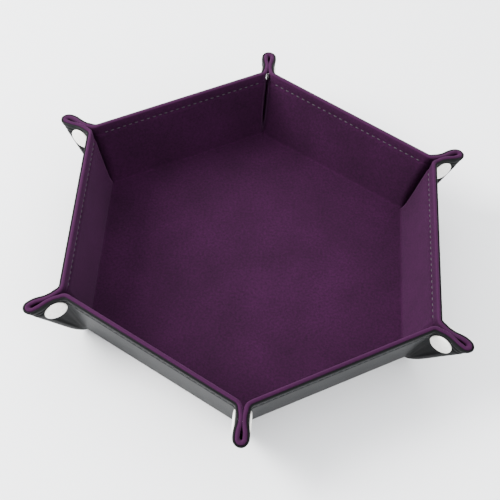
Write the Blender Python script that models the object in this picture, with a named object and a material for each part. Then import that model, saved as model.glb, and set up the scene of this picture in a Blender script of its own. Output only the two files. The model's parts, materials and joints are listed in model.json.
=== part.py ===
"""Folding hexagonal dice tray: a snap-up tray of velvet-lined leatherette over stiff boards.

The tray is cut flat as one large hexagon. Six boarded walls fold up round a boarded floor, and the
unboarded web between two walls is pinched outwards into an ear, which a snap fastener holds shut.
Everything is modelled flat, in the frame of its own crease, and is then folded by the empties on
the creases, so that each moving piece hangs from an empty that lies on its hinge line.

Units are metres, +Z is up, and the origin is the centre of the underside.
"""

import math

import bmesh
import bpy
from mathutils import Vector

# ---- Driving dimensions -----------------------------------------------------------------------
SIDES = 6
FLOOR_APOTHEM = 0.0870  # centre of the floor to each floor crease
WALL_LENGTH = 0.0430  # floor crease to the outer edge, along the sheet
WALL_FLARE = math.radians(16.0)  # lean of a raised wall, outwards from vertical
OUTLINE_RADIUS = 0.0140  # rounding of the flat hexagon's corners

LEATHER = 0.0008  # leatherette
BOARD = 0.0014  # stiffener
LINING = 0.0010  # velvet and its backing, over a board
GLUE = 0.0003  # gap between bonded layers
WEB = 0.0029  # velvet and leatherette together, where there is no board
PINCH = 0.0024  # gap between the velvet faces of a pinched ear

CREASE_HEIGHT = 0.0010  # floor crease above the underside
CREASE_GAP = 0.00015  # half of the gap left along a crease
HINGE_SETBACK = 0.0026  # lining kept back from the floor crease, so that a raised wall clears it
RIM = 0.0025  # lining's border round a board
STITCH_RIM = 0.0080  # the same border at the outer edge, which carries the stitching
WEB_START = 0.0060  # the web's point is trimmed back this far from the floor crease
LIP_TURN = math.radians(60.0)  # how far a web's end turns inwards, clear of its twin half way down

CAP_RADIUS = 0.0070
CAP_RIM = 0.0008
CAP_DOME = 0.0009
POST_RADIUS = 0.0010
POST_HEAD_RADIUS = 0.0016
SNAP_RADIUS = 0.0046  # socket and stud flange
SNAP_FROM_EDGE = 0.0080
SNAP_FROM_CREASE = 0.0077
SNAP_POCKET = 0.0012  # what is left of the web under a socket or a stud
SNAP_BASE = 0.0006
SOCKET_BORE = 0.0024
STUD_NECK_RADIUS = 0.0015
STUD_BALL_RADIUS = 0.0019
STUD_REACH = 0.0013  # how far the stud goes past the ear's middle plane, into the socket
RUNNING = 0.0003  # clearance between neighbouring metal pieces
SEGMENTS = 24
SNAP_SEGMENTS = 16  # round a socket or a stud
LIP_STEPS = 4

# ---- Derived geometry -------------------------------------------------------------------------
HALF_CORNER = math.pi / SIDES
SIDE = 2 * FLOOR_APOTHEM * math.tan(HALF_CORNER)
STACK = LEATHER + GLUE + BOARD + GLUE + LINING
BOARD_Z = LEATHER + GLUE
LINING_Z = BOARD_Z + BOARD + GLUE
RAISED = math.pi / 2 - WALL_FLARE
EAR_HALF = PINCH / 2 + WEB  # middle plane of an ear to its leather face

# A web's crease leans towards the corner by CREASE_LEAN, so that the raised web lies in the plane
# that halves the corner. WEB_FOLD is the angle it then makes with its wall.
CREASE_LEAN = math.atan(math.tan(HALF_CORNER) * math.sin(WALL_FLARE))
WEB_FOLD = math.acos(math.sin(HALF_CORNER) * math.sin(RAISED))
CREASE_INSET = (EAR_HALF - math.cos(WEB_FOLD) * CREASE_HEIGHT) / math.cos(HALF_CORNER)
WEB_ANGLE = HALF_CORNER - CREASE_LEAN  # between a web's crease and the fold at the ear's end
FOLD_DIR = Vector((math.sin(WEB_ANGLE), math.cos(WEB_ANGLE)))
FOLD_SIDE = Vector((math.cos(WEB_ANGLE), -math.sin(WEB_ANGLE)))
EDGE_DIR = Vector((math.cos(CREASE_LEAN), math.sin(CREASE_LEAN)))  # outer edge, in the web's frame
CORNER = EDGE_DIR * CREASE_INSET  # floor corner, in the web's frame
CREASE_TOP = Vector((0.0, WALL_LENGTH / math.cos(CREASE_LEAN)))
SNAP_AT = CREASE_TOP + EDGE_DIR * (SNAP_FROM_CREASE / EDGE_DIR.x) - Vector((0, SNAP_FROM_EDGE / EDGE_DIR.x))

COLOURS = {  # colour, roughness, metallic
    "leatherette": ((0.020, 0.021, 0.022), 0.42, 0.0),
    "board": ((0.42, 0.36, 0.28), 0.90, 0.0),
    "velvet": ((0.075, 0.012, 0.070), 0.95, 0.0),
    "snap_metal": ((0.86, 0.84, 0.80), 0.22, 1.0),
}


def clear_scene():
    for old in list(bpy.data.objects):
        bpy.data.objects.remove(old)


def make_materials():
    made = {}
    for name, (colour, roughness, metallic) in COLOURS.items():
        material = bpy.data.materials.new(name)
        material.use_nodes = True
        shader = material.node_tree.nodes["Principled BSDF"]
        shader.inputs["Base Color"].default_value = (*colour, 1.0)
        shader.inputs["Roughness"].default_value = roughness
        shader.inputs["Metallic"].default_value = metallic
        made[name] = material
    return made


# ---- Mesh helpers -----------------------------------------------------------------------------
def prism(outline, low, high):
    """A closed plate: the outline, anticlockwise, between the heights low and high."""
    bm = bmesh.new()
    face = bm.faces.new([bm.verts.new((x, y, low)) for x, y in outline])
    extruded = bmesh.ops.extrude_face_region(bm, geom=[face])["geom"]
    raised = [g for g in extruded if isinstance(g, bmesh.types.BMVert)]
    bmesh.ops.translate(bm, vec=(0, 0, high - low), verts=raised)
    return finished(bm)


def finished(bm, name="piece"):
    bmesh.ops.recalc_face_normals(bm, faces=bm.faces)
    mesh = bpy.data.meshes.new(name)
    bm.to_mesh(mesh)
    bm.free()
    return mesh


def turned(profile, segments=SEGMENTS):
    """A solid of revolution about Z, from a profile of (radius, height) that ends on the axis or closes."""
    bm = bmesh.new()
    verts = [bm.verts.new((radius, 0, height)) for radius, height in profile]
    edges = [bm.edges.new(pair) for pair in zip(verts, verts[1:])]
    if profile[0][0] > 0:
        edges.append(bm.edges.new((verts[-1], verts[0])))
    bmesh.ops.spin(bm, geom=verts + edges, cent=(0, 0, 0), axis=(0, 0, 1), angle=math.tau, steps=segments)
    bmesh.ops.remove_doubles(bm, verts=bm.verts, dist=1e-6)
    mesh = finished(bm)
    mesh.shade_smooth()
    mesh.set_sharp_from_angle(angle=math.radians(30))
    return mesh


def combined(first, second, operation):
    """The mesh that a Boolean modifier makes of two meshes."""
    body = bpy.data.objects.new("body", first)
    tool = bpy.data.objects.new("tool", second)
    for helper in (body, tool):
        bpy.context.scene.collection.objects.link(helper)
    boolean = body.modifiers.new("boolean", "BOOLEAN")
    boolean.operation = operation
    boolean.object = tool
    bpy.context.view_layer.update()
    graph = bpy.context.evaluated_depsgraph_get()
    mesh = bpy.data.meshes.new_from_object(body.evaluated_get(graph))
    for helper in (body, tool):
        bpy.data.objects.remove(helper)
    return mesh


def mirrored(mesh):
    """The mesh seen in a mirror across its own X, for the other end of a wall."""
    other = mesh.copy()
    for vertex in other.vertices:
        vertex.co.x = -vertex.co.x
    other.flip_normals()
    return other


# ---- Outlines ---------------------------------------------------------------------------------
def hexagon(apothem):
    radius = apothem / math.cos(HALF_CORNER)
    angles = [math.tau * (k + 0.5) / SIDES for k in range(SIDES)]
    return [(radius * math.cos(a), radius * math.sin(a)) for a in angles]


def wall_outline(bottom, inset_end, inset_top):
    """A wall in its hinge frame, from bottom up, kept in from the web creases and the outer edge."""
    top = WALL_LENGTH - inset_top

    def half_width(y):
        return SIDE / 2 - CREASE_INSET + y * math.tan(CREASE_LEAN) - inset_end / math.cos(CREASE_LEAN)

    low, high = half_width(bottom), half_width(top)
    return [(-low, bottom), (low, bottom), (high, top), (-high, top)]


def fold_line(along, out=0.0):
    """A point in the web's frame: along the ear's end fold, and out from where that fold begins."""
    start = CORNER - FOLD_SIDE * (EAR_HALF + CREASE_GAP)
    return start + FOLD_DIR * along + FOLD_SIDE * out


def web_reach():
    """How far along the fold the outline's rounded corner ends."""
    centre = (WALL_LENGTH - OUTLINE_RADIUS) / math.cos(HALF_CORNER)
    return centre + math.sqrt(OUTLINE_RADIUS**2 - (EAR_HALF + CREASE_GAP) ** 2)


def web_outline():
    """The flat part of a web, in its crease frame: crease, fold, rounded corner and outer edge."""
    gap = CREASE_GAP / math.cos(CREASE_LEAN)
    trim = WEB_START / math.cos(CREASE_LEAN)
    fold_start = fold_line(WEB_START / math.cos(HALF_CORNER))
    points = [(gap, trim), tuple(fold_start), tuple(fold_line(web_reach()))]
    centre = CORNER + FOLD_DIR * ((WALL_LENGTH - OUTLINE_RADIUS) / math.cos(HALF_CORNER))
    first = math.asin((EAR_HALF + CREASE_GAP) / OUTLINE_RADIUS)
    steps = 5
    for step in range(1, steps + 1):
        turn = first + (HALF_CORNER - first) * step / steps
        outwards = FOLD_DIR * math.cos(turn) - FOLD_SIDE * math.sin(turn)
        points.append(tuple(centre + OUTLINE_RADIUS * outwards))
    points.append(tuple(CREASE_TOP + EDGE_DIR * (gap / EDGE_DIR.x)))
    return points


# ---- Sheets -----------------------------------------------------------------------------------
def lining_mesh(outline, pocket):
    """A lining over a board: a plate with a pocket on its underside, which the board fills."""
    plate = prism(outline, BOARD_Z, STACK)
    return combined(plate, prism(pocket, 0.0, LINING_Z), "DIFFERENCE")


def lip_mesh():
    """The turned end of a web. It stops short of its twin, so that the two pass while the tray folds."""
    overlap = 0.0004
    centre_z = WEB + PINCH / 2
    arc = [LIP_TURN * step / LIP_STEPS for step in range(LIP_STEPS + 1)]
    outer = [(EAR_HALF * math.sin(a), centre_z - EAR_HALF * math.cos(a)) for a in arc]
    inner = [(PINCH / 2 * math.sin(a), centre_z - PINCH / 2 * math.cos(a)) for a in reversed(arc)]
    section = [(-overlap, 0.0), *outer, *inner, (-overlap, WEB)]
    bm = bmesh.new()
    rings = []
    for along in (WEB_START / math.cos(HALF_CORNER), web_reach()):
        points = [fold_line(along, out) for out, _ in section]
        rings.append([bm.verts.new((p.x, p.y, z)) for p, (_, z) in zip(points, section)])
    for k in range(len(section)):
        following = (k + 1) % len(section)
        bm.faces.new((rings[0][k], rings[0][following], rings[1][following], rings[1][k]))
    bm.faces.new(rings[0])
    bm.faces.new(rings[1])
    return finished(bm)


def web_mesh():
    """Half of an ear: the web, its lip, the hole for the snap's post and the pocket for its inner half."""
    web = combined(prism(web_outline(), 0.0, WEB), lip_mesh(), "UNION")
    for radius, low in ((POST_RADIUS + RUNNING, -0.002), (SNAP_RADIUS + RUNNING, SNAP_POCKET)):
        cutter = turned([(0, low), (radius, low), (radius, EAR_HALF + 0.002), (0, EAR_HALF + 0.002)])
        for vertex in cutter.vertices:
            vertex.co += Vector((*SNAP_AT, 0))
        web = combined(web, cutter, "DIFFERENCE")
    return web


# ---- Snap fastener ----------------------------------------------------------------------------
SNAP_SEAT = SNAP_POCKET + RUNNING  # underside of a socket or a stud, in the web's frame


def cap_mesh():
    """A domed cap outside the leather, with the post that is riveted through the web."""
    face = -RUNNING
    head = SNAP_SEAT + SNAP_BASE + RUNNING
    dome = [
        (CAP_RADIUS * math.cos(a), face - CAP_RIM - CAP_DOME * math.sin(a))
        for a in (math.pi / 2 * step / 4 for step in range(5))
    ]
    profile = [(0, head + 0.0003), (POST_HEAD_RADIUS, head + 0.0003), (POST_HEAD_RADIUS, head)]
    profile += [(POST_RADIUS, head), (POST_RADIUS, face)]
    profile += [(CAP_RADIUS - 0.0003, face), (CAP_RADIUS, face - 0.0003)]
    return turned([*profile, *dome[:-1], (0, dome[-1][1])])


def socket_mesh():
    """The female half: a ring on a base with a hole for the cap's post."""
    top = EAR_HALF - CREASE_GAP
    floor = SNAP_SEAT + SNAP_BASE
    hole = POST_RADIUS + RUNNING
    bevel = 0.0003
    profile = [(hole, SNAP_SEAT), (SNAP_RADIUS, SNAP_SEAT)]
    profile += [(SNAP_RADIUS, top - bevel), (SNAP_RADIUS - bevel, top)]
    profile += [(SOCKET_BORE + bevel, top), (SOCKET_BORE, top - bevel), (SOCKET_BORE, floor), (hole, floor)]
    return turned(profile, SNAP_SEGMENTS)


def stud_mesh():
    """The male half: a flange, a neck and a round head, hollow where the other cap's post is riveted."""
    floor = SNAP_SEAT + SNAP_BASE
    hole = POST_RADIUS + RUNNING
    well = POST_HEAD_RADIUS + RUNNING
    well_top = floor + 0.0012
    tip = EAR_HALF + STUD_REACH
    head = [
        (STUD_BALL_RADIUS * math.cos(a), tip - STUD_BALL_RADIUS * (1 - math.sin(a)) * 0.6)
        for a in (math.pi / 2 * step / 4 for step in range(5))
    ]
    wall = 0.0005
    profile = [(hole, SNAP_SEAT), (SNAP_RADIUS, SNAP_SEAT), (SNAP_RADIUS, floor), (well + wall, floor)]
    profile += [(well + wall, well_top), (STUD_NECK_RADIUS, well_top + wall)]
    profile += [(STUD_NECK_RADIUS, head[0][1] - wall), *head[:-1], (0, tip)]
    profile += [(0, well_top), (well, well_top), (well, floor), (hole, floor)]
    return turned(profile, SNAP_SEGMENTS)


# ---- Assembly ---------------------------------------------------------------------------------
def empty(name, location, rotation, parent=None):
    made = bpy.data.objects.new(name, None)
    made.empty_display_size = 0.01
    made.location = location
    made.rotation_euler = rotation
    made.parent = parent
    bpy.context.scene.collection.objects.link(made)
    return made


def piece(name, mesh, material, parent, location=(0, 0, 0)):
    if not mesh.materials:
        mesh.materials.append(material)
    made = bpy.data.objects.new(name, mesh)
    made.location = location
    made.parent = parent
    bpy.context.scene.collection.objects.link(made)
    return made


def build_floor(materials):
    """The boarded floor, which is the root of everything that folds."""
    board = hexagon(FLOOR_APOTHEM - HINGE_SETBACK - RIM - GLUE)
    pocket = hexagon(FLOOR_APOTHEM - HINGE_SETBACK - RIM)
    lining = hexagon(FLOOR_APOTHEM - HINGE_SETBACK)
    root = empty("floor", (0, 0, 0), (0, 0, 0))
    cover = prism(hexagon(FLOOR_APOTHEM - CREASE_GAP), 0, LEATHER)
    piece("floor_leather_cover", cover, materials["leatherette"], root)
    piece("floor_stiffener_board", prism(board, BOARD_Z, BOARD_Z + BOARD), materials["board"], root)
    piece("floor_velvet_lining", lining_mesh(lining, pocket), materials["velvet"], root)


def wall_meshes():
    """(cover, board, lining) of a wall, flat, in its hinge frame."""
    board_rim = RIM + GLUE
    cover = prism(wall_outline(CREASE_GAP, CREASE_GAP, 0), 0, LEATHER)
    board_low = HINGE_SETBACK + board_rim
    board = wall_outline(board_low, CREASE_GAP + board_rim, STITCH_RIM + GLUE)
    pocket = wall_outline(HINGE_SETBACK + RIM, CREASE_GAP + RIM, STITCH_RIM)
    lining = lining_mesh(wall_outline(HINGE_SETBACK, CREASE_GAP, 0), pocket)
    meshes = cover, prism(board, BOARD_Z, BOARD_Z + BOARD), lining
    for mesh in meshes:
        for vertex in mesh.vertices:
            vertex.co.z -= CREASE_HEIGHT
    return meshes


def build_walls(materials):
    """The six walls, raised, each on an empty along its floor crease, from corner k to corner k + 1."""
    cover, board, lining = wall_meshes()
    hinges = []
    for k in range(SIDES):
        facing = math.tau * (k + 1) / SIDES
        at = (FLOOR_APOTHEM * math.cos(facing), FLOOR_APOTHEM * math.sin(facing), CREASE_HEIGHT)
        turn = empty(f"wall_{k + 1}_place", at, (0, 0, facing - math.pi / 2))
        hinge = empty(f"wall_{k + 1}_hinge", (0, 0, 0), (RAISED, 0, 0), turn)
        piece(f"wall_{k + 1}_leather_cover", cover, materials["leatherette"], hinge)
        piece(f"wall_{k + 1}_stiffener_board", board, materials["board"], hinge)
        piece(f"wall_{k + 1}_velvet_lining", lining, materials["velvet"], hinge)
        hinges.append(hinge)
    return hinges


def build_ears(hinges, materials):
    """The two webs and the snap fastener at each corner, right and left as seen from outside."""
    web, cap, socket, stud = web_mesh(), cap_mesh(), socket_mesh(), stud_mesh()
    metal = materials["snap_metal"]
    for k in range(SIDES):
        for side, sign, hinge, inner, inner_mesh in (
            ("right", 1, hinges[k], "socket", socket),
            ("left", -1, hinges[k - 1], "stud", stud),
        ):
            root = (sign * (SIDE / 2 - CREASE_INSET), 0, -CREASE_HEIGHT)
            folded = (0, sign * WEB_FOLD, -sign * CREASE_LEAN)
            crease = empty(f"corner_{k + 1}_{side}_crease", root, folded, hinge)
            sheet = web if sign > 0 else mirrored(web)
            snap_at = (sign * SNAP_AT.x, SNAP_AT.y, 0)
            piece(f"corner_{k + 1}_{side}_web", sheet, materials["leatherette"], crease)
            piece(f"corner_{k + 1}_{side}_snap_cap", cap, metal, crease, snap_at)
            piece(f"corner_{k + 1}_snap_{inner}", inner_mesh, metal, crease, snap_at)


def main():
    clear_scene()
    materials = make_materials()
    build_floor(materials)
    build_ears(build_walls(materials), materials)


main()
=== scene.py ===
"""The look of the folding dice tray: velvet and leatherette skins, snap caps and stitching.

Both skins are swept from one description of the folded sheet. A place in the sheet is (d, s, h):
d is the distance past a web's crease, towards the ear's end (negative on the wall), s the distance
up from the floor crease, and h the height above the leatherette's outer face. Everything is worked
out in the frame of one wall, which faces +Y, and is turned into place for each wall.
"""

import json
import math

import bmesh
import bpy
from mathutils import Matrix, Vector


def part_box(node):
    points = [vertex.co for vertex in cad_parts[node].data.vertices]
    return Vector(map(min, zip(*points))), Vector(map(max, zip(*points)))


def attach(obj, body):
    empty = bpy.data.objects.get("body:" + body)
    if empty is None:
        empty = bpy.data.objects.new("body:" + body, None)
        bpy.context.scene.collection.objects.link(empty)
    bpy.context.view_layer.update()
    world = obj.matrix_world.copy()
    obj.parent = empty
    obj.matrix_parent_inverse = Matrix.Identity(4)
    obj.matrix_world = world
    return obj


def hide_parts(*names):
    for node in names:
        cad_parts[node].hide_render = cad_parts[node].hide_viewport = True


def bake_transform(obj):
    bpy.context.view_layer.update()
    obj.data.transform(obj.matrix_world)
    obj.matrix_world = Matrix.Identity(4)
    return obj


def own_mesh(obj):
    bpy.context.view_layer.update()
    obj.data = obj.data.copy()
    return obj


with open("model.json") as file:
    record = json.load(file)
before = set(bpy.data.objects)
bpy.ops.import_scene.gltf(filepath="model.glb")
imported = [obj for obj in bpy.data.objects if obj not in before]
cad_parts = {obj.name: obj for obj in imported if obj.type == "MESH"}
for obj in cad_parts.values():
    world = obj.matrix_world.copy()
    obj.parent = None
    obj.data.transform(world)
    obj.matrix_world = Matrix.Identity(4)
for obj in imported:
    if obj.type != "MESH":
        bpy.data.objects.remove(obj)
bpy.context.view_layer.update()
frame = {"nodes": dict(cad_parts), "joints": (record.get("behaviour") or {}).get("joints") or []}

# ---- Sizes from the frame ---------------------------------------------------------------------
SIDES = 6
JOINTS = {joint["name"]: joint for joint in frame["joints"]}
FIRST_FOLD = JOINTS["wall_6_fold"]  # wall 6 faces +X
APOTHEM, _, CREASE_HEIGHT = FIRST_FOLD["pos_m"]
RAISED = math.radians(FIRST_FOLD["range_deg"][1])
FLARE = math.pi / 2 - RAISED
HALF_CORNER = math.pi / SIDES
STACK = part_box("floor_velvet_lining")[1].z
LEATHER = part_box("floor_leather_cover")[1].z
LINING_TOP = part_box("wall_6_velvet_lining")[1].z
WALL_LENGTH = (LINING_TOP - CREASE_HEIGHT - (STACK - CREASE_HEIGHT) * math.sin(FLARE)) / math.cos(FLARE)

# Half of an ear's width: how far its right crease stands off the bisector of corner 1.
CORNER_ACROSS = Vector((-math.sin(HALF_CORNER), math.cos(HALF_CORNER), 0))
EAR_HALF = Vector(JOINTS["corner_1_right_crease"]["pos_m"]).dot(CORNER_ACROSS)

# ---- Sizes of the visible sheet ---------------------------------------------------------------
MM = 0.001
VELVET = 1.0 * MM
WEB = 2.9 * MM  # both skins together, where there is no board
CREASE_BEND = 5.0 * MM  # outer radius of the floor crease
EAR_BEND = 1.35 * MM  # half of the bend at a web's crease, along the sheet
EAR_GROWTH = 5.0 * MM  # how fast an ear opens to its full width, up from the floor corner
EAR_PINCH = 0.7 * MM  # how far the snap draws each web in
EAR_BULGE = 0.35 * MM  # how far each web swells out beyond the snap
EAR_GAP = 0.18 * MM  # sheet left off each half of an ear, to keep the two apart when the tray lies open
EAR_TAKE = 0.65 * MM  # sheet that the end fold takes up, besides its own radius
PULL_FULL = 26.0 * MM  # the snap's pull on a web grows up to this height
MOUTH_START = 35.0 * MM  # an ear's mouth opens from this height
MOUTH_RISE = 6.0 * MM  # and is fully open this much higher
NECK_SHARE = 0.22  # the share of a web, from its crease, over which the neck is drawn in
OUTLINE_RADIUS = 14.0 * MM
CAP_RADIUS = 6.2 * MM  # the frame's own caps have 7 mm
CAP_SHIFT = 0.8 * MM  # towards the crease, from the plain cap of the frame
CAP_SINK = 0.7 * EAR_PINCH  # how deep a cap sits in its drawn-in web
FOLD_LEATHER = 0.4 * MM  # the leatherette is pulled thin over the end fold, and the velvet fills it
FLOOR_STRIP = 4.0 * MM  # the part of the floor that belongs to a wall's skins
STITCH_ROW = 5.6 * MM  # from the outer edge
STITCH_PITCH = 3.7 * MM
STITCH_LENGTH = 2.5 * MM
STITCH_RADIUS = 0.38 * MM
WALL_STITCH_END = 1.5 * MM  # a wall's row keeps this far from its web creases
WEB_STITCH_START = 1.8 * MM  # a web's row starts this far past its crease
WEB_STITCH_SPARE = 2.0 * MM  # and leaves at least about this much of the web free
CLOSEST = 0.012 * MM  # the two halves of an ear stop this far from its middle plane

# ---- How finely the sheet is divided ----------------------------------------------------------
BEND_SHARE = 0.25  # where a web's bend ends, on a scale from 0 at the wall to 1 at the end fold
BEND_COLUMNS = 7
FLAT_COLUMNS = 9
FOLD_COLUMNS = 8
WALL_COLUMNS = 30
BEND_ROWS = 8
BASE_ROWS = 10
RING_POINTS = 8  # round a thread

# ---- The folded sheet -------------------------------------------------------------------------
CREASE_LEAN = math.atan(math.tan(HALF_CORNER) * math.sin(FLARE))
WALL_START = (CREASE_BEND - CREASE_HEIGHT) * (1 - math.sin(FLARE)) / math.cos(FLARE)
BEND_LENGTH = (CREASE_BEND - STACK / 2) * RAISED
FLOOR_END = WALL_START - BEND_LENGTH
BEND_R = APOTHEM + (CREASE_HEIGHT - CREASE_BEND) * math.cos(FLARE) + WALL_START * math.sin(FLARE)

ALONG = Vector((1, 0, 0))
OUT = Vector((math.sin(HALF_CORNER), math.cos(HALF_CORNER), 0))  # outwards, along the corner's bisector
ACROSS = Vector((-math.cos(HALF_CORNER), math.sin(HALF_CORNER), 0))  # from the bisector to this wall
WALL_INWARDS = Vector((0, -math.cos(FLARE), math.sin(FLARE)))
CREASE_RISE = math.atan2(math.cos(FLARE), math.sin(FLARE) / math.cos(HALF_CORNER))
EAR_SLOPE = CREASE_RISE - (math.pi / 2 - CREASE_LEAN)
EAR_OUT = OUT * math.cos(EAR_SLOPE) + Vector((0, 0, math.sin(EAR_SLOPE)))
FLOOR_CORNER = APOTHEM * math.tan(HALF_CORNER)


def smooth(value):
    value = max(0.0, min(1.0, value))
    return value * value * (3 - 2 * value)


def section_point(s, h):
    """(distance from the tray's middle, height) of a place in a wall or the floor beside it."""
    if s >= WALL_START:
        out, up = s, h - CREASE_HEIGHT
        radial = APOTHEM + out * math.sin(FLARE) - up * math.cos(FLARE)
        return radial, CREASE_HEIGHT + out * math.cos(FLARE) + up * math.sin(FLARE)
    if s <= FLOOR_END:
        return BEND_R + s - FLOOR_END, h
    turn = (s - FLOOR_END) / BEND_LENGTH * RAISED
    radius = CREASE_BEND - h
    return BEND_R + radius * math.sin(turn), CREASE_BEND - radius * math.cos(turn)


def section_normal(s):
    turn = max(0.0, min(1.0, (s - FLOOR_END) / BEND_LENGTH)) * RAISED
    return Vector((0, -math.sin(turn), math.cos(turn)))


def ear_half(s):
    """Half the width of an ear at its crease: nothing at the floor corner, and full a little above it."""
    return EAR_HALF * (1 - math.exp(-max(0.0, s - FLOOR_END) / EAR_GROWTH))


def crease_x(s):
    """Where a web's crease is, along its wall."""
    return section_point(s, 0)[0] * math.tan(HALF_CORNER) - ear_half(s) / math.cos(HALF_CORNER)


def web_width(s):
    """From a web's crease to the ear's middle plane, along the sheet."""
    spread = (math.tan(HALF_CORNER) - math.tan(CREASE_LEAN)) * WALL_LENGTH / (WALL_LENGTH - FLOOR_END)
    return ear_half(s) / math.cos(HALF_CORNER) + spread * max(0.0, s - FLOOR_END)


def swell(share, s):
    """How far a web stands out from its crease's plane: drawn in by the snap, and out again beyond it."""
    near_edge = smooth((s - MOUTH_START) / MOUTH_RISE)
    neck = smooth(share / NECK_SHARE)
    # The web swells out over its last 0.22, and at the ear's mouth over 0.48, from 0.38 on.
    beyond = smooth((share - 0.78 + 0.40 * near_edge) / (0.22 + 0.26 * near_edge))
    outwards = EAR_BULGE * (0.2 + 0.8 * near_edge)
    return (outwards * beyond - EAR_PINCH * neck * (1 - beyond)) * smooth(s / PULL_FULL)


def ear_end(s):
    """(length of an ear's straight side, radius of the fold at its end)."""
    radius = ear_half(s) + swell(1.0, s)
    take = EAR_GAP + EAR_TAKE * smooth(s / PULL_FULL)
    return max(0.05 * MM, web_width(s) - take - radius / math.cos(HALF_CORNER)), radius


def rim_height(d):
    """The outer edge, which is straight and then rounds the flat hexagon's corner."""
    past = crease_x(WALL_LENGTH) + d - FLOOR_CORNER - (WALL_LENGTH - OUTLINE_RADIUS) * math.tan(HALF_CORNER)
    if past <= 0:
        return WALL_LENGTH
    return WALL_LENGTH - OUTLINE_RADIUS + math.sqrt(max(0.0, OUTLINE_RADIUS**2 - past**2))


def kept_apart(point):
    """The point, moved off the ear's middle plane if it has crossed it."""
    gap = point.dot(ACROSS)
    return point + ACROSS * (CLOSEST - gap) if gap < CLOSEST else point


def on_wall(x, s, h):
    radial, height = section_point(s, h)
    return kept_apart(Vector((x, radial, height)))


def crease_point(s):
    radial, height = section_point(s, 0)
    return Vector((crease_x(s), radial, height))


def on_web(share, s, h):
    """A place in the web: share runs from 0 where the wall's skin ends to 1 where the end fold starts."""
    length, _ = ear_end(s)
    bend = min(EAR_BEND, length / 2)
    crease = crease_point(s)
    if share < BEND_SHARE:
        turn = share / BEND_SHARE
        start, finish = crease - ALONG * bend, crease + EAR_OUT * bend
        face = start * (1 - turn) ** 2 + crease * (2 * turn * (1 - turn)) + finish * turn**2
        normal = section_normal(s).slerp(-ACROSS, turn)
        return kept_apart(face + normal * h)
    along = (share - BEND_SHARE) / (1 - BEND_SHARE)
    d = bend + (length - bend) * along
    return kept_apart(crease + EAR_OUT * d + ACROSS * (swell(along, s) - h))


def on_fold(turn, s, h):
    """A place in the fold at the ear's end: turn runs from 0 at the web to 1 at the middle plane."""
    length, radius = ear_end(s)
    angle = turn * math.pi / 2
    reach = max(0.02 * MM, radius - h)
    middle = crease_point(s) - ACROSS * ear_half(s)
    past = EAR_OUT * (length + reach * math.sin(angle) / math.cos(HALF_CORNER))
    return kept_apart(middle + past + ACROSS * (reach * math.cos(angle)))


# ---- Sections of the skins --------------------------------------------------------------------
LOWEST = FLOOR_END + 0.3 * MM  # the lowest row of the webs
TAPER = 9.0 * MM  # the rim's own shape starts this far below the outer edge
EDGE_LEATHER = 1.30 * MM  # the leatherette's turned edge, which the velvet's meets
EDGE_TOP = 3.42 * MM  # the velvet's face at its rolled edge, which the webs keep though they have no board
EDGE_EXTRA = 0.33 * MM  # how much fuller the rolled edge is round an ear
# Painted shade on the leatherette, by millimetres below the outer edge: dark at the turned edge, a lighter
# painted highlight on its bead, dark again in the pressed line, and fading out past the stitching.
EDGE_PAINTED_SHADE = (
    (0.4, 1.0), (1.0, 0.62), (2.3, 0.62),
    (2.8, 1.0), (3.4, 1.0), (4.0, 0.4),
    (5.1, 0.25), (5.6, 0.35), (6.1, 0.15), (7.3, 0.0),
)


def wall_rows():
    """Heights up the wall, from the floor crease to where the rim's own shape starts."""
    bend = [LOWEST + (WALL_START - LOWEST) * k / BEND_ROWS for k in range(BEND_ROWS)]
    top = WALL_LENGTH - TAPER
    return bend + [WALL_START + (top - WALL_START) * (k / BASE_ROWS) ** 1.4 for k in range(BASE_ROWS + 1)]


def velvet_rim(thick):
    """Pairs of (distance below the outer edge, height) for the velvet's two faces, over the rim."""
    groove = ((8.4, 0), (7.4, 0.02), (6.6, 0.12), (6.1, 0.36), (5.6, 0.62))
    groove += ((5.1, 0.5), (4.5, 0.36), (3.4, 0.36))
    pairs = []
    for below, dip in groove:
        face = thick - dip * MM
        pairs.append(((below * MM, face), (below * MM, face - VELVET)))
    top = EDGE_TOP + EDGE_EXTRA * (STACK - thick) / (STACK - WEB)
    outer = (top - EDGE_LEATHER) / 2
    inner = outer - 0.8 * MM
    for degrees in range(90, -91, -15):
        cos, sin = math.cos(math.radians(degrees)), math.sin(math.radians(degrees))
        pairs.append(tuple((outer - r * cos, top - outer + r * sin) for r in (outer, inner)))
    return pairs


def leather_rim():
    """The same pairs for the leatherette: drawn in by stitches and a pressed line, then a turned edge."""
    shape = ((8.4, 0, 0.8), (7.2, 0, 0.8), (6.5, 0.05, 0.8), (6.1, 0.25, 0.9), (5.6, 0.62, 1.2))
    shape += ((5.1, 0.34, 1.1), (4.6, 0.2, 1.1), (4.0, 0.22, 1.1), (3.6, 0.3, 1.1), (3.3, 0.62, 1.25))
    shape += ((2.95, 0.66, 1.25), (2.7, 0.3, 1.1), (2.2, 0.12, 1.0), (1.5, 0.1, 1.0), (0.95, 0.2, 1.1))
    shape += ((0.6, 0.42, 1.2), (0.45, 0.75, 1.22))
    return [((below * MM, face * MM), (below * MM, back * MM)) for below, face, back in shape]


def web_thickness(share):
    return STACK + (WEB - STACK) * smooth(share / BEND_SHARE)


def heights(skin, thick, filled=False):
    """(outer face, inner face) of a skin below its rim."""
    if skin == "velvet":
        return thick, FOLD_LEATHER + 0.05 * MM if filled else thick - VELVET
    return 0.0, FOLD_LEATHER if filled else LEATHER


def skin_column(skin, rim, thick, lowest_rows, filled=False):
    """Pairs of (s, h) for the two faces of a skin, from the bottom up and over the rim."""
    face, back = heights(skin, thick, filled)
    column = [((s, face), (s, back)) for s in lowest_rows]
    rim_pairs = velvet_rim(thick) if skin == "velvet" else leather_rim()
    for (below, h), (below_back, h_back) in rim_pairs:
        if filled and skin == "velvet":
            h_back = min(h_back, EDGE_LEATHER + 0.05 * MM)
        column.append(((rim - below, h), (rim - below_back, h_back)))
    return column


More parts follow.
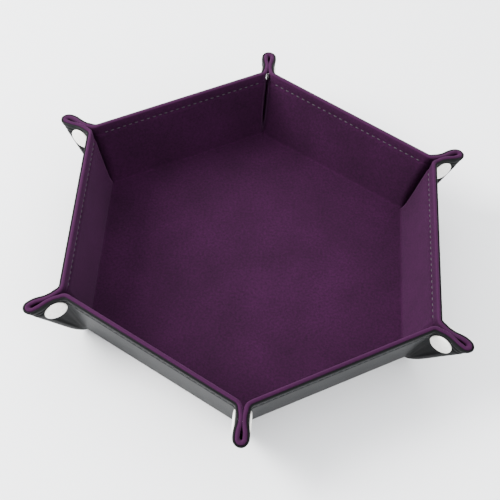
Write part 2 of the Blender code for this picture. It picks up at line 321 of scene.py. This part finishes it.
# ---- Meshes -----------------------------------------------------------------------------------
def closed_sheet(name, columns, painted_light):
    """A closed thin mesh from columns of (outer point, inner point) pairs, with painted highlight and shade
    by row.
    """
    bm = bmesh.new()
    # Each point stores its painted light: a highlight on the velvet, shade on the leatherette.
    layer = bm.verts.layers.float.new("painted_light")
    faces = []
    for side in (0, 1):
        grid = []
        for column in columns:
            verts = [bm.verts.new(pair[side]) for pair in column]
            for vert, value in zip(verts, painted_light):
                vert[layer] = value
            grid.append(verts)
        faces.append(grid)
    outer, inner = faces
    last_column, last_row = len(columns) - 1, len(columns[0]) - 1
    for i in range(last_column):
        for j in range(last_row):
            for grid in faces:
                bm.faces.new((grid[i][j], grid[i + 1][j], grid[i + 1][j + 1], grid[i][j + 1]))
        for j in (0, last_row):
            bm.faces.new((outer[i][j], outer[i + 1][j], inner[i + 1][j], inner[i][j]))
    for j in range(last_row):
        for i in (0, last_column):
            bm.faces.new((outer[i][j], outer[i][j + 1], inner[i][j + 1], inner[i][j]))
    bmesh.ops.recalc_face_normals(bm, faces=bm.faces)
    return as_object(name, bm)


def as_object(name, bm, sharp=50):
    mesh = bpy.data.meshes.new(name)
    bm.to_mesh(mesh)
    bm.free()
    mesh.shade_smooth()
    mesh.set_sharp_from_angle(angle=math.radians(sharp))
    made = bpy.data.objects.new(name, mesh)
    bpy.context.scene.collection.objects.link(made)
    return made


def facing(k):
    """Turns the working frame, whose wall faces +Y, to wall k."""
    return Matrix.Rotation(math.tau * k / SIDES - math.pi / 2, 4, "Z")


def placed(columns, turn, side):
    """Columns of the working frame at one wall, mirrored for the wall's left end."""
    mirror = Matrix.Scale(side, 4, ALONG)
    return [[tuple(turn @ mirror @ p for p in pair) for pair in column] for column in columns]


def painted_edge_shade(below):
    """EDGE_PAINTED_SHADE at this many millimetres below the outer edge."""
    for (near, first), (far, second) in zip(EDGE_PAINTED_SHADE, EDGE_PAINTED_SHADE[1:]):
        if below < far:
            return first + (second - first) * max(0.0, (below - near) / (far - near))
    return 0.0


def painted_light_of(skin, column, rim, least=0.0):
    """Per row: a painted highlight on the velvet's crown; on the leatherette, painted shade of at least
    least.
    """
    if skin == "velvet":
        # Velvet: a painted highlight along the rim's crown, about 0.3 mm below the outer edge.
        return [smooth(1 - abs(rim - pair[0][0] - 0.3 * MM) / (1.1 * MM)) for pair in column]
    # Leatherette: painted shade by the distance below the outer edge, never less than least.
    return [max(least, painted_edge_shade((rim - pair[0][0]) / MM)) for pair in column]


def wall_end(s):
    """Where the wall's own skin ends and the web's bend starts."""
    bend = min(EAR_BEND, ear_end(s)[0] / 2) if s > FLOOR_END else 0.0
    return crease_x(s) - bend


def wall_columns(skin):
    low = [FLOOR_END - FLOOR_STRIP, FLOOR_END - FLOOR_STRIP / 2, FLOOR_END, *wall_rows()]
    column = skin_column(skin, WALL_LENGTH, STACK, low)
    columns = []
    for k in range(WALL_COLUMNS + 1):
        share = 2 * k / WALL_COLUMNS - 1
        pairs = []
        for pair in column:
            ends = [wall_end(s) for s, _ in pair]
            points = [on_wall(abs(share) * end, s, h) for end, (s, h) in zip(ends, pair)]
            pairs.append(tuple(Vector((math.copysign(p.x, share), p.y, p.z)) for p in points))
        columns.append(pairs)
    return columns, painted_light_of(skin, column, WALL_LENGTH)


def web_columns(skin):
    shares = [BEND_SHARE * k / BEND_COLUMNS for k in range(BEND_COLUMNS + 1)]
    shares += [BEND_SHARE + (1 - BEND_SHARE) * k / FLAT_COLUMNS for k in range(1, FLAT_COLUMNS + 1)]
    length, _ = ear_end(WALL_LENGTH)
    columns = []
    for share in shares:
        rim = rim_height(length * max(0.0, share - BEND_SHARE) / (1 - BEND_SHARE))
        column = skin_column(skin, rim, web_thickness(share), wall_rows())
        columns.append([tuple(on_web(share, s, h) for s, h in pair) for pair in column])
    # The webs' leatherette is painted at least 0.7 dark: painted shade, as the webs stand in shadow.
    return columns, painted_light_of(skin, column, rim, least=0.7)


def fold_columns(skin):
    """The end fold, whose outer edge stays level, so that the ear's tip is closed and round."""
    columns = []
    rim = rim_height(ear_end(WALL_LENGTH)[0])
    column = skin_column(skin, rim, WEB, wall_rows(), filled=True)
    for k in range(FOLD_COLUMNS + 1):
        columns.append([tuple(on_fold(k / FOLD_COLUMNS, s, h) for s, h in pair) for pair in column])
    # The end fold's leatherette is painted at least 0.7 dark: painted shade, as the ears stand in shadow.
    return columns, painted_light_of(skin, column, rim, least=0.7)


def hexagon_plate(name, apothem, low, high, rings=12):
    """A closed hexagonal plate, in rings, whose corners lie over the tray's corners."""
    bm = bmesh.new()
    layers = []
    for z in (low, high):
        middle = bm.verts.new((0, 0, z))
        circles = []
        for ring in range(1, rings + 1):
            radius = apothem / math.cos(HALF_CORNER) * ring / rings
            turns = [math.tau * (k + 0.5) / SIDES for k in range(SIDES)]
            circles.append([bm.verts.new((radius * math.cos(a), radius * math.sin(a), z)) for a in turns])
        for k in range(SIDES):
            after = (k + 1) % SIDES
            bm.faces.new((middle, circles[0][k], circles[0][after]))
            for inner, outer in zip(circles, circles[1:]):
                bm.faces.new((inner[k], outer[k], outer[after], inner[after]))
        layers.append(circles[-1])
    for k in range(SIDES):
        after = (k + 1) % SIDES
        bm.faces.new((layers[0][k], layers[0][after], layers[1][after], layers[1][k]))
    bmesh.ops.recalc_face_normals(bm, faces=bm.faces)
    # The floor plates carry the painted light attribute too, with nothing painted.
    bm.verts.layers.float.new("painted_light")
    return as_object(name, bm)


def add_stitch(bm, start, finish, normal):
    """One stitch: a thread that rises out of the sheet, lies on it and goes back in."""
    along = finish - start
    side = along.cross(normal).normalized()
    rings = []
    for t, size in ((-0.85, 0.65), (-0.5, 0.95), (0.0, 1.0), (0.5, 0.95), (0.85, 0.65)):
        centre = start + along * (t + 1) / 2 - normal * (STITCH_RADIUS * 1.3 * t * t)
        ring = []
        for k in range(RING_POINTS):
            angle = math.tau * k / RING_POINTS
            reach = (side * math.cos(angle) + normal * math.sin(angle)) * STITCH_RADIUS * size
            ring.append(bm.verts.new(centre + reach))
        rings.append(ring)
    poles = [bm.verts.new(end - normal * STITCH_RADIUS * 1.8) for end in (start, finish)]
    for first, second in zip(rings, rings[1:]):
        for k in range(RING_POINTS):
            after = (k + 1) % RING_POINTS
            bm.faces.new((first[k], first[after], second[after], second[k]))
    for k in range(RING_POINTS):
        after = (k + 1) % RING_POINTS
        bm.faces.new((poles[0], rings[0][after], rings[0][k]))
        bm.faces.new((poles[1], rings[-1][k], rings[-1][after]))


def stitches(name, spans, normals, turn, side):
    """A row of stitches as one mesh of separate threads."""
    bm = bmesh.new()
    mirror = turn @ Matrix.Scale(side, 4, ALONG)
    for (start, finish), normal in zip(spans, normals):
        add_stitch(bm, mirror @ start, mirror @ finish, (mirror.to_3x3() @ normal).normalized())
    bmesh.ops.recalc_face_normals(bm, faces=bm.faces)
    return as_object(name, bm, sharp=80)


def stitch_height(skin, thick):
    """The thread lies in the groove that it has drawn the skin into."""
    return thick - 0.48 * MM if skin == "velvet" else 0.45 * MM


def wall_stitch_spans(skin):
    s = WALL_LENGTH - STITCH_ROW
    h = stitch_height(skin, STACK)
    end = crease_x(s) - WALL_STITCH_END
    count = int(2 * end / STITCH_PITCH)
    spans = []
    for k in range(count):
        middle = (k + 0.5 - count / 2) * STITCH_PITCH
        ends = [middle + sign * STITCH_LENGTH / 2 for sign in (-1, 1)]
        spans.append([Vector((x, *section_point(s, h))) for x in ends])
    outwards = WALL_INWARDS if skin == "velvet" else -WALL_INWARDS
    return spans, [outwards] * count


def web_stitch_spans(skin):
    length, _ = ear_end(WALL_LENGTH)
    h = stitch_height(skin, WEB)
    count = int((length - WEB_STITCH_SPARE) / STITCH_PITCH)
    spans = []
    for k in range(count):
        middle = WEB_STITCH_START + (k + 0.5) * STITCH_PITCH
        points = []
        for sign in (-1, 1):
            d = middle + sign * STITCH_LENGTH / 2
            s = rim_height(d) - STITCH_ROW
            along = (d - EAR_BEND) / (ear_end(s)[0] - EAR_BEND)
            points.append(crease_point(s) + EAR_OUT * d + ACROSS * (swell(along, s) - h))
        spans.append(points)
    outwards = -ACROSS if skin == "velvet" else ACROSS
    return spans, [outwards] * count


def turned(name, profile, at, axis, segments=48):
    """A turned piece: its profile of (radius, height) runs from the axis to the axis."""
    bm = bmesh.new()
    verts = [bm.verts.new((radius, 0, height)) for radius, height in profile]
    edges = [bm.edges.new(pair) for pair in zip(verts, verts[1:])]
    bmesh.ops.spin(bm, geom=verts + edges, cent=(0, 0, 0), axis=(0, 0, 1), angle=math.tau, steps=segments)
    bmesh.ops.remove_doubles(bm, verts=bm.verts, dist=1e-7)
    bmesh.ops.recalc_face_normals(bm, faces=bm.faces)
    placement = Matrix.Translation(at) @ axis.to_track_quat("Z", "Y").to_matrix().to_4x4()
    bmesh.ops.transform(bm, matrix=placement, verts=bm.verts)
    return as_object(name, bm, sharp=40)


# ---- Materials --------------------------------------------------------------------------------
def new_material(name):
    material = bpy.data.materials.new(name)
    material.use_nodes = True
    return material, material.node_tree.nodes, material.node_tree.links


def noise_node(nodes, links, coords, scale, detail, roughness=0.5):
    node = nodes.new("ShaderNodeTexNoise")
    node.inputs["Scale"].default_value = scale
    node.inputs["Detail"].default_value = detail
    node.inputs["Roughness"].default_value = roughness
    links.new(coords, node.inputs["Vector"])
    return node.outputs["Fac"]


def ramp_node(nodes, links, value, stops):
    node = nodes.new("ShaderNodeValToRGB")
    ramp = node.color_ramp
    while len(ramp.elements) < len(stops):
        ramp.elements.new(0.5)
    for element, (position, colour) in zip(ramp.elements, stops):
        element.position = position
        element.color = (*colour, 1.0)
    links.new(value, node.inputs["Fac"])
    return node.outputs["Color"]


def mix_node(nodes, links, blend, factor, first, second):
    node = nodes.new("ShaderNodeMix")
    node.data_type = "RGBA"
    node.blend_type = blend
    for socket, value in ((node.inputs[0], factor), (node.inputs[6], first), (node.inputs[7], second)):
        if isinstance(value, (float, tuple)):
            socket.default_value = value
        else:
            links.new(value, socket)
    return node.outputs[2]


def bump_node(nodes, links, height, strength, distance, normal=None):
    node = nodes.new("ShaderNodeBump")
    node.inputs["Strength"].default_value = strength
    node.inputs["Distance"].default_value = distance
    links.new(height, node.inputs["Height"])
    if normal is not None:
        links.new(normal, node.inputs["Normal"])
    return node.outputs["Normal"]


# Reads the painted highlight and shade stored on each mesh's points.
def painted_light_value(nodes):
    node = nodes.new("ShaderNodeAttribute")
    node.attribute_name = "painted_light"
    return node.outputs["Fac"]


def velvet_material():
    """Short-pile velvet: nap laid either way, a fine fibre speckle, a sheen, a painted highlight on the
    crown.
    """
    material, nodes, links = new_material("purple_velvet")
    shader = nodes["Principled BSDF"]
    coords = nodes.new("ShaderNodeTexCoord").outputs["Object"]
    patches = noise_node(nodes, links, coords, 32.0, 4.0, 0.55)
    tone = ((0.3, (0.0130, 0.0010, 0.0115)), (0.7, (0.0195, 0.0018, 0.0174)))
    nap = ramp_node(nodes, links, patches, tone)
    fibres = noise_node(nodes, links, coords, 760.0, 4.0, 0.7)
    speckle = ramp_node(nodes, links, fibres, ((0.32, (0.55, 0.55, 0.55)), (0.7, (1.45, 1.45, 1.45))))
    colour = mix_node(nodes, links, "MULTIPLY", 0.8, nap, speckle)
    # Painted highlight: the velvet's crown is mixed towards a lighter purple.
    crown_highlight = mix_node(nodes, links, "MIX", painted_light_value(nodes), colour, (0.033, 0.0058, 0.0297, 1.0))
    highlighted = mix_node(nodes, links, "MIX", 0.6, colour, crown_highlight)
    links.new(highlighted, shader.inputs["Base Color"])
    pile = noise_node(nodes, links, coords, 3200.0, 3.0, 0.7)
    soft = bump_node(nodes, links, patches, 0.25, 0.6 * MM)
    links.new(bump_node(nodes, links, pile, 0.55, 0.12 * MM, soft), shader.inputs["Normal"])
    shader.inputs["Roughness"].default_value = 0.95
    shader.inputs["Specular IOR Level"].default_value = 0.12
    shader.inputs["Sheen Weight"].default_value = 0.17
    shader.inputs["Sheen Roughness"].default_value = 0.35
    shader.inputs["Sheen Tint"].default_value = (0.55, 0.21, 0.52, 1.0)
    return material


def leather_material():
    """Leatherette: pebble grain and fine creases in a satin black face, darkened by painted shade."""
    material, nodes, links = new_material("black_leatherette")
    shader = nodes["Principled BSDF"]
    coords = nodes.new("ShaderNodeTexCoord").outputs["Object"]
    pebbles = nodes.new("ShaderNodeTexVoronoi")
    pebbles.feature = "SMOOTH_F1"
    pebbles.inputs["Scale"].default_value = 1100.0
    pebbles.inputs["Smoothness"].default_value = 0.6
    links.new(coords, pebbles.inputs["Vector"])
    mottle = noise_node(nodes, links, coords, 170.0, 6.0, 0.65)
    base = ramp_node(nodes, links, mottle, ((0.3, (0.0045, 0.0047, 0.005)), (0.7, (0.021, 0.022, 0.0232))))
    # Painted shade: the leatherette is mixed towards near black by its outer edge and on the webs.
    edge_shaded = mix_node(nodes, links, "MIX", painted_light_value(nodes), base, (0.0025, 0.0026, 0.0028, 1.0))
    links.new(edge_shaded, shader.inputs["Base Color"])
    rough = nodes.new("ShaderNodeMapRange")
    rough.inputs["To Min"].default_value = 0.42
    rough.inputs["To Max"].default_value = 0.58
    links.new(mottle, rough.inputs["Value"])
    links.new(rough.outputs["Result"], shader.inputs["Roughness"])
    wrinkles = noise_node(nodes, links, coords, 260.0, 3.0, 0.55)
    grain = bump_node(nodes, links, pebbles.outputs["Distance"], 0.5, 0.10 * MM)
    links.new(bump_node(nodes, links, wrinkles, 0.25, 0.15 * MM, grain), shader.inputs["Normal"])
    shader.inputs["Specular IOR Level"].default_value = 0.06
    return material


def thread_material(name, colour):
    """Twisted sewing thread: a fine band across each stitch, and a soft sheen."""
    material, nodes, links = new_material(name)
    shader = nodes["Principled BSDF"]
    coords = nodes.new("ShaderNodeTexCoord").outputs["Object"]
    twist = noise_node(nodes, links, coords, 2600.0, 2.0)
    dark = tuple(0.55 * c for c in colour)
    links.new(ramp_node(nodes, links, twist, ((0.35, dark), (0.65, colour))), shader.inputs["Base Color"])
    links.new(bump_node(nodes, links, twist, 0.4, 0.08 * MM), shader.inputs["Normal"])
    shader.inputs["Roughness"].default_value = 0.6
    return material


def cap_material():
    """The caps' smooth pale lacquer, over metal, with faint handling marks."""
    material, nodes, links = new_material("pale_cap_lacquer")
    shader = nodes["Principled BSDF"]
    coords = nodes.new("ShaderNodeTexCoord").outputs["Object"]
    marks = noise_node(nodes, links, coords, 420.0, 4.0, 0.6)
    tone = ((0.3, (0.88, 0.855, 0.79)), (0.7, (0.93, 0.91, 0.85)))
    links.new(ramp_node(nodes, links, marks, tone), shader.inputs["Base Color"])
    rough = nodes.new("ShaderNodeMapRange")
    rough.inputs["To Min"].default_value = 0.20
    rough.inputs["To Max"].default_value = 0.34
    links.new(marks, rough.inputs["Value"])
    links.new(rough.outputs["Result"], shader.inputs["Roughness"])
    shader.inputs["Metallic"].default_value = 0.0
    shader.inputs["Coat Weight"].default_value = 0.3
    return material


def metal_material():
    """The snap's plated inner halves, with fine turning marks."""
    material, nodes, links = new_material("plated_steel")
    shader = nodes["Principled BSDF"]
    coords = nodes.new("ShaderNodeTexCoord").outputs["Object"]
    marks = noise_node(nodes, links, coords, 1800.0, 3.0)
    tone = ((0.3, (0.72, 0.71, 0.69)), (0.7, (0.86, 0.85, 0.83)))
    links.new(ramp_node(nodes, links, marks, tone), shader.inputs["Base Color"])
    links.new(bump_node(nodes, links, marks, 0.1, 0.03 * MM), shader.inputs["Normal"])
    shader.inputs["Metallic"].default_value = 1.0
    shader.inputs["Roughness"].default_value = 0.24
    return material


def board_material():
    """Grey board, with its pressed fibres."""
    material, nodes, links = new_material("grey_board")
    shader = nodes["Principled BSDF"]
    coords = nodes.new("ShaderNodeTexCoord").outputs["Object"]
    fibres = noise_node(nodes, links, coords, 900.0, 5.0, 0.7)
    tone = ((0.35, (0.30, 0.26, 0.20)), (0.65, (0.45, 0.40, 0.32)))
    links.new(ramp_node(nodes, links, fibres, tone), shader.inputs["Base Color"])
    links.new(bump_node(nodes, links, fibres, 0.3, 0.1 * MM), shader.inputs["Normal"])
    shader.inputs["Roughness"].default_value = 0.9
    return material


def stage_material(name, colour, roughness):
    material, nodes, _ = new_material(name)
    shader = nodes["Principled BSDF"]
    shader.inputs["Base Color"].default_value = (*colour, 1.0)
    shader.inputs["Roughness"].default_value = roughness
    return material


MATERIALS = {
    "velvet": velvet_material(),
    "leatherette": leather_material(),
    "snap_cap": cap_material(),
    "snap_metal": metal_material(),
    "board": board_material(),
}
THREADS = {
    "velvet": thread_material("purple_thread", (0.012, 0.0028, 0.012)),
    "leather": thread_material("black_thread", (0.004, 0.004, 0.0045)),
}
SLOTS = {"velvet": "velvet", "leather": "leatherette"}


def dressed(piece, slot, material=None):
    piece.data.materials.clear()
    piece.data.materials.append(material or MATERIALS[slot])
    return piece


def build_floor():
    apothem = BEND_R - FLOOR_STRIP
    for skin, node in (("velvet", "floor_velvet_lining"), ("leather", "floor_leather_cover")):
        low, high = (STACK - VELVET, STACK) if skin == "velvet" else (0.0, LEATHER)
        plate = dressed(hexagon_plate(f"floor_{skin}", apothem, low, high), SLOTS[skin])
        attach(plate, "floor")
        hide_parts(node)


def build_walls():
    """The skins of each wall, which bend at the floor crease, and the stitching near its outer edge."""
    for skin, node in (("velvet", "velvet_lining"), ("leather", "leather_cover")):
        columns, painted_light = wall_columns(skin)
        spans, normals = wall_stitch_spans(skin)
        for k in range(1, SIDES + 1):
            turn = facing(k)
            piece = closed_sheet(f"wall_{k}_{skin}", placed(columns, turn, 1), painted_light)
            dressed(piece, SLOTS[skin])
            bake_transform(piece)
            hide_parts(f"wall_{k}_{node}")
            row = stitches(f"wall_{k}_{skin}_stitches", spans, normals, turn, 1)
            dressed(row, SLOTS[skin], THREADS[skin])
            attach(row, f"wall_{k}")


def build_ears():
    """The two webs of each corner: their skins up to the end fold, that fold, and the webs' stitches."""
    for skin in ("velvet", "leather"):
        columns, painted_light = web_columns(skin)
        fold, fold_painted_light = fold_columns(skin)
        spans, normals = web_stitch_spans(skin)
        for k in range(1, SIDES + 1):
            for end, side, wall in (("right", 1, k), ("left", -1, (k - 2) % SIDES + 1)):
                turn = facing(wall)
                body = f"corner_{k}_{end}_web"
                web = closed_sheet(f"corner_{k}_{end}_{skin}", placed(columns, turn, side), painted_light)
                dressed(web, SLOTS[skin])
                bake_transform(web)
                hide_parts(body)
                bead = closed_sheet(f"corner_{k}_{end}_{skin}_fold", placed(fold, turn, side), fold_painted_light)
                dressed(bead, SLOTS[skin])
                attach(bead, body)
                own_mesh(bead)
                row = stitches(f"corner_{k}_{end}_{skin}_stitches", spans, normals, turn, side)
                dressed(row, SLOTS[skin], THREADS[skin])
                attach(row, body)


def cap_profile():
    """A snap cap: a flat back, a rolled rim and a low dome with a faint flat in the middle."""
    radius, back, rim, dome = CAP_RADIUS, 0.05 * MM, 0.85 * MM, 0.42 * MM
    profile = [(0, back), (radius - 1.2 * MM, back), (radius - 0.5 * MM, back + 0.05 * MM)]
    for k in range(9):
        angle = math.radians(-60 + 150 * k / 8)
        out = radius - 0.55 * MM + 0.55 * MM * math.cos(angle)
        up = rim - 0.5 * MM + 0.5 * MM * math.sin(angle)
        profile.append((out, up))
    for share in (0.86, 0.8, 0.7, 0.58, 0.45, 0.32, 0.2, 0.1):
        profile.append((radius * share, rim + dome * (1 - share**2.2) - 0.02 * MM))
    profile.append((0, rim + dome))
    return profile


def build_caps():
    """The visible cap on each web, in place of the plain CAD one."""
    for k in range(1, SIDES + 1):
        corner = math.tau * (k - 0.5) / SIDES
        out = Vector((math.cos(corner), math.sin(corner), 0))
        across = Vector((-math.sin(corner), math.cos(corner), 0))
        sloping = out * math.cos(EAR_SLOPE) + Vector((0, 0, math.sin(EAR_SLOPE)))
        for end, side in (("right", 1), ("left", -1)):
            node = f"corner_{k}_{end}_snap_cap"
            low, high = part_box(node)
            middle = (low + high) / 2
            face = EAR_HALF - CAP_SINK
            at = out * middle.dot(out) + across * side * face + Vector((0, 0, middle.z)) - sloping * CAP_SHIFT
            cap = turned(f"corner_{k}_{end}_cap", cap_profile(), at, across * side)
            dressed(cap, "snap_cap")
            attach(cap, f"corner_{k}_{end}_web")
            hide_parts(node)


def dress_frame():
    """Better materials for the CAD nodes that stay: the boards and the snaps' inner halves."""
    for name, node in frame["nodes"].items():
        if name.endswith("stiffener_board"):
            dressed(node, "board")
        elif name.endswith(("socket", "stud")):
            dressed(node, "snap_metal")


# ---- Stage ------------------------------------------------------------------------------------
def build_camera():
    """The main view's camera."""
    position = Vector((-0.0135, -0.4043, 0.5684))
    azimuth, elevation, roll = math.radians(-1.61), math.radians(53.79), math.radians(6.38)
    back = Vector((
        math.sin(azimuth) * math.cos(elevation),
        -math.cos(azimuth) * math.cos(elevation),
        math.sin(elevation),
    ))
    level = Vector((math.cos(azimuth), math.sin(azimuth), 0))
    upright = back.cross(level)
    right = level * math.cos(roll) + upright * math.sin(roll)
    up = upright * math.cos(roll) - level * math.sin(roll)
    data = bpy.data.cameras.new("camera")
    data.lens = 88.55
    data.sensor_width = 36.0
    camera = bpy.data.objects.new("camera", data)
    camera.matrix_world = Matrix.Translation(position) @ Matrix((right, up, back)).transposed().to_4x4()
    bpy.context.scene.collection.objects.link(camera)
    bpy.context.scene.camera = camera


def add_light(name, location, size, energy):
    data = bpy.data.lights.new(name, "AREA")
    data.size = size
    data.energy = energy
    light = bpy.data.objects.new(name, data)
    light.location = location
    light.rotation_euler = Vector(location).to_track_quat("Z", "Y").to_euler()
    bpy.context.scene.collection.objects.link(light)


def build_stage():
    """A pale table under a bright, even studio."""
    bpy.ops.mesh.primitive_plane_add(size=6.0, location=(0, 0, -0.0003))
    floor = bpy.context.object
    floor.name = "table"
    floor.data.materials.append(stage_material("pale_table", (0.96, 0.96, 0.965), 0.6))
    world = bpy.data.worlds.new("studio")
    world.use_nodes = True
    world.node_tree.nodes["Background"].inputs["Color"].default_value = (0.95, 0.97, 1.0, 1.0)
    world.node_tree.nodes["Background"].inputs["Strength"].default_value = 2.25
    bpy.context.scene.world = world
    add_light("key", (-1.15, 0.15, 0.8), 0.7, 62.0)
    add_light("fill", (0.8, -0.7, 0.9), 0.9, 8.0)
    add_light("back", (0.1, 0.9, 0.8), 0.8, 6.0)


build_camera()
build_floor()
build_walls()
build_ears()
build_caps()
dress_frame()
build_stage()
